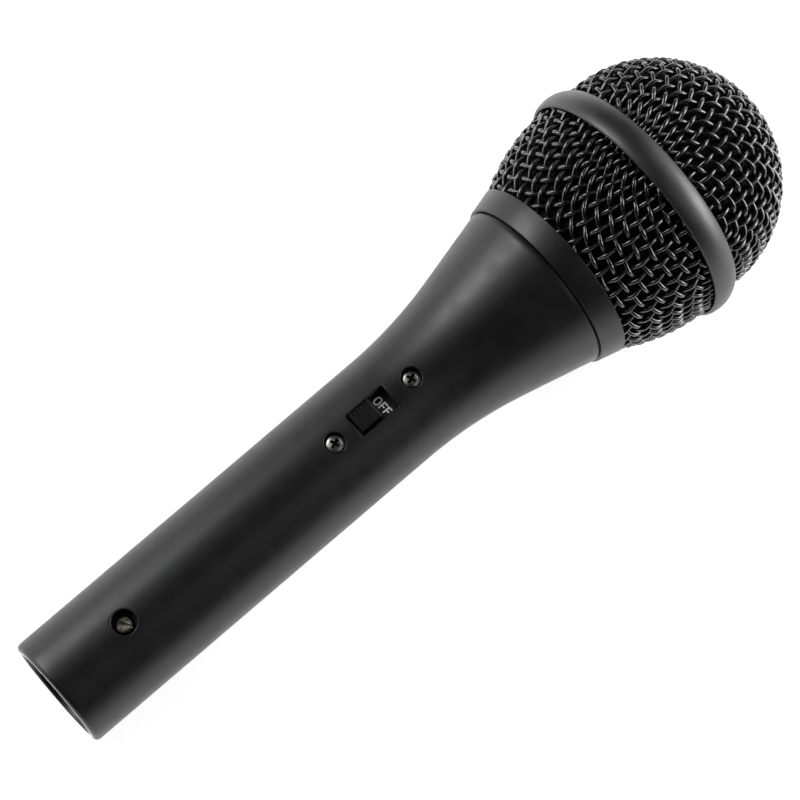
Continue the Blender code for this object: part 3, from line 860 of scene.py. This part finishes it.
def switch_screw(end):
    """A low pan head with a cross recess, whose faces get the second material, a near-black painted shade.
    """
    low, high = box_mm(f"switch_screw_{end}")
    station = middle_of(f"switch_screw_{end}")[0]
    radius, top, bottom = high.y, high.z, 11.4

    def height_at(part):
        """The head's height at this part of its radius."""
        return top - 0.62 * (1 - math.sqrt(max(0.0, 1 - (part * 0.93) ** 2)))

    outline = [(height_at(i / 12), (radius - 0.02) * (i / 12)) for i in range(13)]
    outline += [(bottom + 0.12, radius), (bottom + 0.03, radius - 0.03), (bottom, radius - 0.1)]
    outline += [(bottom, 1.0), (low.z + 0.3, 1.0), (low.z, 0.7), (low.z, 0.0)]
    made = upright(f"cross_screw_{end}", outline, station)
    carve(made, *cross_cutters(station, top))
    # The faces down in the cross recess are marked for the painted shade.
    for face in made.data.polygons:
        across = math.hypot(face.center.x - (station + REAR_X) * MM, face.center.y) / MM
        depth = height_at(across / radius) - face.center.z / MM
        face.material_index = int(depth > 0.05 and across < 1.3)
    return made


def set_screw():
    low, high = box_mm("xlr_set_screw")
    station = middle_of("xlr_set_screw")[0]
    radius, top = high.y, high.z
    outline = [(top - 0.1, 0.0), (top - 0.06, radius * 0.5), (top, radius - 0.35)]
    outline += [(top - 0.05, radius - 0.18), (top - 0.3, radius), (low.z, radius), (low.z, 0.0)]
    made = upright("worn_set_screw", outline, station)
    floor, above = top - 0.75, top + 1
    sides = [(-0.28, floor), (-0.34, above), (0.34, above), (0.28, floor)]
    groove = slab("groove", [(station + x, z) for x, z in sides], -3, 3)
    centre = Vector(((station + REAR_X) * MM, 0, 0))
    spin = Matrix.Translation(centre) @ Matrix.Rotation(0.5, 4, "Z") @ Matrix.Translation(-centre)
    groove.data.transform(spin)
    carve(made, groove)
    return made


# ---- socket


def drill(start, end, radius, y, z, sides):
    """A round cutter along the microphone's axis."""
    made = turned("hole", rectangle(start, end, 0, radius), sides)
    made.data.transform(Matrix.Translation((0, y * MM, z * MM)))
    return made


def socket_insert():
    start, end = stations("xlr_insert")
    radius = box_mm("xlr_insert")[1].z
    corners = [(start, 0.0, 0), (start, 7.6, 0.15), (start + 0.5, 7.8, 0.1)]
    corners += [(start + 0.5, radius - 0.3, 0.3), (start + 0.9, radius, 0.2)]
    corners += [(end, radius, 0.2), (end, 0.0, 0)]
    made = turned("socket_insert", rounded(corners), 128)
    pins = [middle_of(f"xlr_pin_{number}") for number in (1, 2, 3)]
    cutters = [drill(start - 2, end + 1, 1.5, y, z, 40) for _, y, z in pins]
    cutters.append(upright("bore", rectangle(5.6, 12, 0, 2.05), middle_of("xlr_set_screw")[0]))
    carve(made, *cutters)
    return made


def contact_pin(number):
    """A round-nosed pin with a hollow tail for its lead."""
    start, end = stations(f"xlr_pin_{number}")
    _, y, z = middle_of(f"xlr_pin_{number}")
    radius = 1.2
    turns = [QUARTER * t / 8 for t in range(9)]
    outline = [(start + 1.3 * (1 - math.cos(t)), radius * math.sin(t) ** 0.8) for t in turns]
    outline += [(27.2, radius), (27.3, radius + 0.1), (end - 0.1, radius + 0.1), (end, radius)]
    outline += [(end, 0.85), (end - 2.5, 0.8), (end - 2.7, 0.0)]
    made = turned(f"contact_pin_{number}", outline, 40)
    made.data.transform(Matrix.Translation((0, y * MM, z * MM)))
    return made


# ---- capsule


def mount_sleeve():
    low, high = stations("shock_mount")
    corners = [(low, 11.4, 0.2), (low, 15.9, 0.5), (129.0, 15.9, 0.4), (129.7, 14.9, 0.3)]
    corners += [(133.8, 14.9, 0.3), (134.5, 15.9, 0.4), (high, 15.9, 0.6), (high, 11.4, 0.2)]
    return turned("mount_sleeve", rounded(corners), 128)


def capsule_cup():
    low, high = stations("capsule_housing")
    corners = [(low, 6.0, 0.1), (low, 14.6, 0.6), (143.0, 14.6, 0.0), (143.3, 14.3, 0), (144.0, 14.3, 0)]
    corners += [(144.3, 14.6, 0), (high, 14.6, 0.2), (high, 13.5, 0.1)]
    corners += [(low + 1.3, 13.5, 0.3), (low + 1.3, 6.0, 0.1)]
    return turned("capsule_cup", rounded(corners), 128)


def capsule_lid():
    low, high = stations("capsule_cap")
    corners = [(low, 0.0, 0), (low, 14.6, 0.15), (low + 1.3, 14.6, 0.4), (high, 13.9, 0.4), (high, 0.0, 0)]
    made = turned("capsule_lid", rounded(corners), 128)
    cutters = []
    for count, ring in ((1, 0.0), (6, 4.6), (12, 9.6)):
        for i in range(count):
            angle = math.tau * i / count + 0.2
            y, z = ring * math.cos(angle), ring * math.sin(angle)
            cutters.append(drill(low - 1, high + 1, 1.3, y, z, 32))
    carve(made, *cutters)
    return made


# ---- finishes


class Finish:
    """A procedural material: object-space textures drive its colour, roughness and relief."""

    def __init__(self, name, **sockets):
        self.material = bpy.data.materials.new(name)
        self.material.use_nodes = True
        self.tree = self.material.node_tree
        self.shader = self.tree.nodes["Principled BSDF"]
        for socket, value in sockets.items():
            self.shader.inputs[socket.replace("_", " ")].default_value = value

    def node(self, kind, links=(), **values):
        made = self.tree.nodes.new(kind)
        for key, value in values.items():
            if hasattr(made, key):
                setattr(made, key, value)
            else:
                made.inputs[key.replace("_", " ")].default_value = value
        for socket, source in links:
            self.tree.links.new(source, made.inputs[socket])
        return made

    def places(self, stretch=(1, 1, 1)):
        place = self.node("ShaderNodeTexCoord").outputs["Object"]
        return self.node("ShaderNodeMapping", [("Vector", place)], Scale=stretch).outputs["Vector"]

    def noise(self, size_mm, stretch=(1, 1, 1), detail=4.0):
        links = [("Vector", self.places(stretch))]
        made = self.node("ShaderNodeTexNoise", links, Scale=1 / (size_mm * MM), Detail=detail)
        return made.outputs["Fac"]

    def cells(self, size_mm):
        links = [("Vector", self.places())]
        return self.node("ShaderNodeTexVoronoi", links, Scale=1 / (size_mm * MM)).outputs["Distance"]

    def span(self, source, low, high, start=0.3, end=0.7):
        made = self.node("ShaderNodeMapRange", [("Value", source)])
        for socket, value in zip(("From Min", "From Max", "To Min", "To Max"), (start, end, low, high)):
            made.inputs[socket].default_value = value
        return made.outputs["Result"]

    def colour(self, source, low, high, start=0.35, end=0.65):
        made = self.node("ShaderNodeValToRGB", [("Fac", source)])
        for element, place, colour in zip(made.color_ramp.elements, (start, end), (low, high)):
            element.position = place
            element.color = (*colour, 1.0)
        self.tree.links.new(made.outputs["Color"], self.shader.inputs["Base Color"])
        return self

    def rough(self, source, low, high):
        self.tree.links.new(self.span(source, low, high), self.shader.inputs["Roughness"])
        return self

    def relief(self, source, depth_mm):
        made = self.node("ShaderNodeBump", [("Height", source)], Strength=1.0, Distance=depth_mm * MM)
        self.tree.links.new(made.outputs["Normal"], self.shader.inputs["Normal"])


def enamel(name, low, high, rough, **sockets):
    made = Finish(name, **sockets)
    made.colour(made.noise(9.0, detail=6.0), low, high).rough(made.noise(3.5, detail=8.0), *rough)
    made.relief(made.noise(0.22, detail=2.0), 0.004)
    return made.material


def wire_coat(name):
    made = Finish(name, Specular_IOR_Level=0.85, Coat_Weight=0.4, Coat_Roughness=0.1)
    made.colour(made.noise(1.4), (0.004, 0.004, 0.004), (0.007, 0.0068, 0.0065))
    made.rough(made.noise(0.9, detail=6.0), 0.16, 0.26)
    made.relief(made.noise(0.35), 0.006)
    return made.material


def foam(name):
    made = Finish(name, Specular_IOR_Level=0.15, Roughness=0.95)
    pores = made.cells(0.75)
    made.colour(pores, (0.0015, 0.0015, 0.0016), (0.011, 0.011, 0.012), 0.1, 0.6)
    made.relief(pores, 0.35)
    return made.material


def plastic(name, low, high, rough, grain=0.3, depth=0.006, **sockets):
    made = Finish(name, **sockets)
    made.colour(made.noise(1.2, detail=6.0), low, high).rough(made.noise(0.8, detail=6.0), *rough)
    made.relief(made.noise(grain, detail=3.0), depth)
    return made.material


def metal(name, low, high, rough, stretch=(1, 1, 1)):
    made = Finish(name, Metallic=1.0)
    made.colour(made.noise(1.6, detail=6.0), low, high)
    made.rough(made.noise(0.8, stretch, 6.0), *rough)
    made.relief(made.noise(0.4, stretch, 4.0), 0.003)
    return made.material


def worn_metal(name):
    made = Finish(name, Metallic=0.9)
    scratches = made.noise(0.5, (0.35, 2.2, 1), 8.0)
    made.colour(scratches, (0.06, 0.055, 0.045), (0.42, 0.39, 0.33), 0.38, 0.6)
    made.rough(made.noise(0.3, (0.5, 2, 1), 6.0), 0.3, 0.6)
    made.relief(scratches, 0.08)
    return made.material


def felt(name):
    made = Finish(name, Specular_IOR_Level=0.2, Roughness=0.95, Sheen_Weight=0.3)
    made.colour(made.noise(0.4, (1, 1, 3), 8.0), (0.2, 0.2, 0.19), (0.36, 0.36, 0.34))
    made.relief(made.noise(0.15, detail=8.0), 0.05)
    return made.material


def film(name):
    made = Finish(name, Roughness=0.25, Coat_Weight=0.4)
    made.colour(made.noise(3.0), (0.66, 0.66, 0.6), (0.78, 0.78, 0.73))
    made.relief(made.noise(1.2, (4, 1, 1), 3.0), 0.03)
    return made.material


def grey(value):
    """A grey with a trace of blue."""
    return value, value, value * 1.03


def finishes():
    """Every material by its slot's name, and four that only scene pieces use."""
    gloss = {"Specular_IOR_Level": 0.72}
    # A faint glow on the printed letters: painted light that keeps them pale in the window's shade.
    glow = {"Emission_Color": (1.0, 1.0, 0.95, 1.0), "Emission_Strength": 0.06}
    nickel, rim = ((0.36, 0.345, 0.31), (0.48, 0.46, 0.415)), ((0.5, 0.46, 0.43), (0.66, 0.61, 0.57))
    steel, silver = ((0.42, 0.41, 0.39), (0.55, 0.54, 0.51)), ((0.72, 0.7, 0.66), (0.84, 0.82, 0.78))
    brass, copper = ((0.52, 0.38, 0.15), (0.66, 0.5, 0.22)), ((0.55, 0.25, 0.13), (0.72, 0.36, 0.2))
    ferrite = ((0.05, 0.05, 0.055), (0.09, 0.09, 0.095))
    # Near black: painted shade for the screws' cross recesses.
    recess_shade_colour = ((0.006, 0.006, 0.005), (0.016, 0.015, 0.014))
    white, pale = ((0.66, 0.66, 0.63), (0.75, 0.75, 0.72)), ((0.84, 0.84, 0.8), (0.92, 0.92, 0.88))
    return {
        "black_enamel": enamel("satin_enamel", grey(0.006), grey(0.0078), (0.33, 0.41)),
        "black_band": enamel("band_enamel", grey(0.012), grey(0.015), (0.36, 0.44), **gloss),
        "black_wire": wire_coat("coated_wire"),
        "black_foam": foam("open_cell_foam"),
        "black_plastic": plastic("ribbed_plastic", grey(0.005), grey(0.008), (0.3, 0.42)),
        "label_plate": plastic("matt_plate", grey(0.004), grey(0.007), (0.5, 0.65)),
        "dark_nickel": metal("dark_nickel_plate", *nickel, (0.22, 0.36)),
        "steel": metal("plain_steel", *steel, (0.3, 0.45), (1, 6, 6)),
        "silver_contact": metal("silver_plate", *silver, (0.16, 0.3), (6, 1, 1)),
        "brass": metal("machined_brass", *brass, (0.25, 0.4), (8, 1, 1)),
        "copper_wire": metal("wound_copper", *copper, (0.28, 0.42), (12, 1, 1)),
        "moulded_black": plastic("moulded_plastic", grey(0.009), grey(0.014), (0.42, 0.58)),
        "black_nylon": plastic("black_nylon", grey(0.006), grey(0.01), (0.5, 0.65)),
        "grey_rubber": plastic("soft_rubber", grey(0.035), grey(0.05), (0.7, 0.85), 0.4, 0.02),
        "grey_felt": felt("pressed_felt"),
        "ferrite": metal("ground_ferrite", *ferrite, (0.4, 0.55), (1, 4, 4)),
        "clear_film": film("thin_film"),
        "red_lead": plastic("red_insulation", (0.42, 0.02, 0.02), (0.52, 0.035, 0.03), (0.35, 0.5)),
        "black_lead": plastic("black_insulation", grey(0.015), grey(0.025), (0.35, 0.5)),
        "white_lead": plastic("white_insulation", *white, (0.35, 0.5)),
        "green_lead": plastic("green_insulation", (0.03, 0.22, 0.05), (0.06, 0.3, 0.09), (0.35, 0.5)),
        "recess": metal("recess_painted_shade", *recess_shade_colour, (0.5, 0.65)),
        "worn": worn_metal("worn_steel"),
        "bright_metal_rim": metal("bright_metal_rim", *rim, (0.25, 0.4)),
        "print": plastic("pale_print_painted_glow", *pale, (0.5, 0.65), **glow),
    }


NODE_SLOTS = {
    "steel": ("switch_bracket", "magnet_yoke", "pole_plate"),
    "black_plastic": ("switch_body",),
    "brass": (
        "switch_contact", "switch_terminal_1", "switch_terminal_2", "switch_terminal_3", "ground_tag",
        "diaphragm_ring", "capsule_terminal_hot", "capsule_terminal_cold",
    ),
    "moulded_black": ("air_chamber",),
    "grey_felt": ("felt_disc",),
    "ferrite": ("magnet",),
    "clear_film": ("diaphragm",),
    "copper_wire": ("voice_coil",),
    "red_lead": ("lead_capsule_hot",),
    "black_lead": ("lead_capsule_cold",),
    "white_lead": ("lead_switch_hot",),
    "green_lead": ("lead_ground",),
}


def paint(piece, *materials):
    """Sets a piece's materials. Where there are two, its faces keep the one they are marked for."""
    faces = piece.data.polygons
    indices = [0] * len(faces)
    faces.foreach_get("material_index", indices)
    piece.data.materials.clear()
    for material in materials:
        piece.data.materials.append(material)
    if len(materials) > 1:
        faces.foreach_set("material_index", indices)


def build_pieces(materials):
    """Every fine piece, then the materials of the CAD nodes that keep their own shapes."""

    def put(piece, body, slot, *nodes, look=None, second=None):
        """Puts a fine piece on its body in place of its CAD nodes, with its slot's material."""
        paint(piece, *(materials[key] for key in (look or slot, second) if key))
        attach(piece, body)
        if nodes:
            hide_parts(*nodes)

    put(handle_body(), "handle", "black_enamel", "handle_body", second="bright_metal_rim")
    put(neck_thread(), "handle", "black_enamel")
    washer = flat_ring("washer_ring", "collar_washer", 18.4, 19.35, 0.06)  # clear of the neck's thread
    put(washer, "grille_washer", "black_nylon", "collar_washer")
    put(collar_trim(), "grille", "black_enamel", "collar_ring")
    thread_ring = flat_ring("thread_ring", "grille_thread_ring", 18.45, 19.0, 0.2)
    put(thread_ring, "grille", "brass", "grille_thread_ring")
    put(grille_hoop(), "grille", "black_band", "grille_band")
    put(ball_wires(), "grille", "black_wire", "ball_grille")
    put(basket_wires(), "grille", "black_wire", "basket_grille")
    put(ball_lining(), "grille", "black_foam", "ball_foam")
    put(basket_lining(), "grille", "black_foam", "basket_foam")
    put(slide_knob(), "switch_slider", "black_plastic", "switch_knob")
    put(slide_plate(), "switch_slider", "label_plate", "switch_shutter")
    # The printed letters glow faintly, painted light.
    put(lettering("lettering_off", "OFF", 86.15), "switch_slider", "label_plate", look="print")
    put(lettering("lettering_on", "ON", 77.0), "switch_slider", "label_plate", look="print")
    # Each cross recess gets the near-black painted shade.
    for end in ("rear", "front"):
        put(switch_screw(end), "handle", "dark_nickel", f"switch_screw_{end}", second="recess")
    put(set_screw(), "handle", "steel", "xlr_set_screw", look="worn")
    put(socket_insert(), "handle", "moulded_black", "xlr_insert")
    for number in (1, 2, 3):
        put(contact_pin(number), "handle", "silver_contact", f"xlr_pin_{number}")
    put(mount_sleeve(), "handle", "grey_rubber", "shock_mount")
    put(capsule_cup(), "handle", "moulded_black", "capsule_housing")
    put(capsule_lid(), "handle", "moulded_black", "capsule_cap")
    for slot, nodes in NODE_SLOTS.items():
        for node in nodes:
            paint(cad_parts[node], materials[slot])


# ---- studio

# The camera looks down on the switch side, and the handle rises to the right. Angles in degrees.
CAMERA_TILT, CAMERA_ROLL, HANDLE_RISE = 11.7, 10.2, 40.4
CAMERA_DISTANCE = 0.6008  # metres
LENS = 130.5
AIM_STATION = 92.8
AIM_SIDE = 0.29
LIGHT_DISTANCE = 0.9  # metres
LIGHT_SIZE = 0.45  # metres
FLOOR_REACH = 3.0  # metres
FLOOR_FADE = 0.6  # metres
FLOOR_GLOW = 0.66

# Each light's direction in the picture, in degrees from the right, its angle from the picture's
# plane towards the camera, and its power.
SOFTBOXES = {
    "key_box": (141, 30, 4.4),
    "key_low": (135, 5, 0.7),
    "key_high": (135, 55, 0.4),
    "head_box": (0, 5, 0.9),
    "nose_box": (18, 9, 5.5),
    "head_middle": (0, 30, 0.5),
    "head_high": (0, 55, 0.26),
    "top_low": (45, 5, 1.1),
    "top_high": (45, 30, 0.65),
    "rear_box": (180, 5, 2.6),
}


def camera_axes():
    """Right, up and back of the camera, and the handle's own side in the picture."""
    tilt, roll, rise = (math.radians(angle) for angle in (CAMERA_TILT, CAMERA_ROLL, HANDLE_RISE))
    back = Vector((-math.sin(tilt), -math.cos(tilt) * math.sin(roll), math.cos(tilt) * math.cos(roll)))
    ahead = Vector((1, 0, 0))
    ahead = (ahead - back * ahead.dot(back)).normalized()
    side = ahead.cross(back)
    right = ahead * math.cos(rise) + side * math.sin(rise)
    up = ahead * math.sin(rise) - side * math.cos(rise)
    return right, up, back, side


RIGHT, UP, BACK, SIDE = camera_axes()
AIM = Vector(((AIM_STATION + REAR_X) * MM, 0, 0)) - SIDE * AIM_SIDE * MM


def add_object(name, data, place):
    made = bpy.data.objects.new(name, data)
    bpy.context.collection.objects.link(made)
    made.matrix_world = place
    return made


def facing(place, direction):
    """A frame at a place, its Z along a direction."""
    return Matrix.Translation(place) @ direction.to_track_quat("Z", "Y").to_matrix().to_4x4()


def add_camera():
    data = bpy.data.cameras.new("camera")
    data.lens = LENS
    data.sensor_width = 36.0
    data.clip_start = 0.01
    data.clip_end = 20
    turn = Matrix((RIGHT, UP, BACK)).transposed().to_4x4()
    place = Matrix.Translation(AIM + BACK * CAMERA_DISTANCE) @ turn
    bpy.context.scene.camera = add_object("camera", data, place)


def add_softboxes():
    for name, (away, lift, power) in SOFTBOXES.items():
        a, b = math.radians(away), math.radians(lift)
        direction = (RIGHT * math.cos(a) + UP * math.sin(a)) * math.cos(b) + BACK * math.sin(b)
        data = bpy.data.lights.new(name, "AREA")
        data.shape = "RECTANGLE"
        data.size = data.size_y = LIGHT_SIZE
        data.energy = power
        add_object(name, data, facing(AIM + direction * LIGHT_DISTANCE, direction))


def add_floor():
    """A pale plane that the band and the rear rim rest on. It glows softly round the microphone."""
    run = middle_of("grille_band")[0]
    normal = Vector((BAND[2] - REAR_RADIUS, 0, run)).normalized()
    touch = Vector((REAR_X + run, 0, -BAND[2])) * MM - normal * 0.1 * MM
    mesh = bpy.data.meshes.new("floor")
    bm = bmesh.new()
    bmesh.ops.create_grid(bm, x_segments=1, y_segments=1, size=FLOOR_REACH)
    bm.to_mesh(mesh)
    bm.free()
    pale = Finish("pale_floor", Roughness=0.8, Specular_IOR_Level=0.1, Emission_Color=(1, 1, 1, 1))
    vector = pale.places([1 / FLOOR_FADE] * 3)
    fade = pale.node("ShaderNodeTexGradient", [("Vector", vector)], gradient_type="SPHERICAL")
    glow = pale.span(fade.outputs["Fac"], FLOOR_GLOW * 0.2, FLOOR_GLOW, 0.2, 0.74)
    pale.tree.links.new(glow, pale.shader.inputs["Emission Strength"])
    pale.colour(pale.noise(40.0), (0.9, 0.9, 0.9), (0.93, 0.93, 0.93))
    mesh.materials.append(pale.material)
    add_object("floor", mesh, facing(AIM - normal * (AIM - touch).dot(normal), normal))


def add_world():
    """Pale round the horizon and dark overhead."""
    world = bpy.data.worlds.new("studio")
    bpy.context.scene.world = world
    world.use_nodes = True
    nodes, links = world.node_tree.nodes, world.node_tree.links
    background = nodes["Background"]
    coordinates = nodes.new("ShaderNodeTexCoord")
    split = nodes.new("ShaderNodeSeparateXYZ")
    ramp = nodes.new("ShaderNodeValToRGB")
    links.new(coordinates.outputs["Generated"], split.inputs[0])
    links.new(split.outputs["Z"], ramp.inputs["Fac"])
    links.new(ramp.outputs["Color"], background.inputs["Color"])
    elements = ramp.color_ramp.elements
    elements[0].position, elements[0].color = 0.03, (1, 1, 1, 1)
    elements[1].position, elements[1].color = 0.12, (0.01, 0.01, 0.01, 1)


add_camera()
add_world()
add_floor()
add_softboxes()
build_pieces(finishes())
bpy.context.scene.view_settings.view_transform = "Standard"
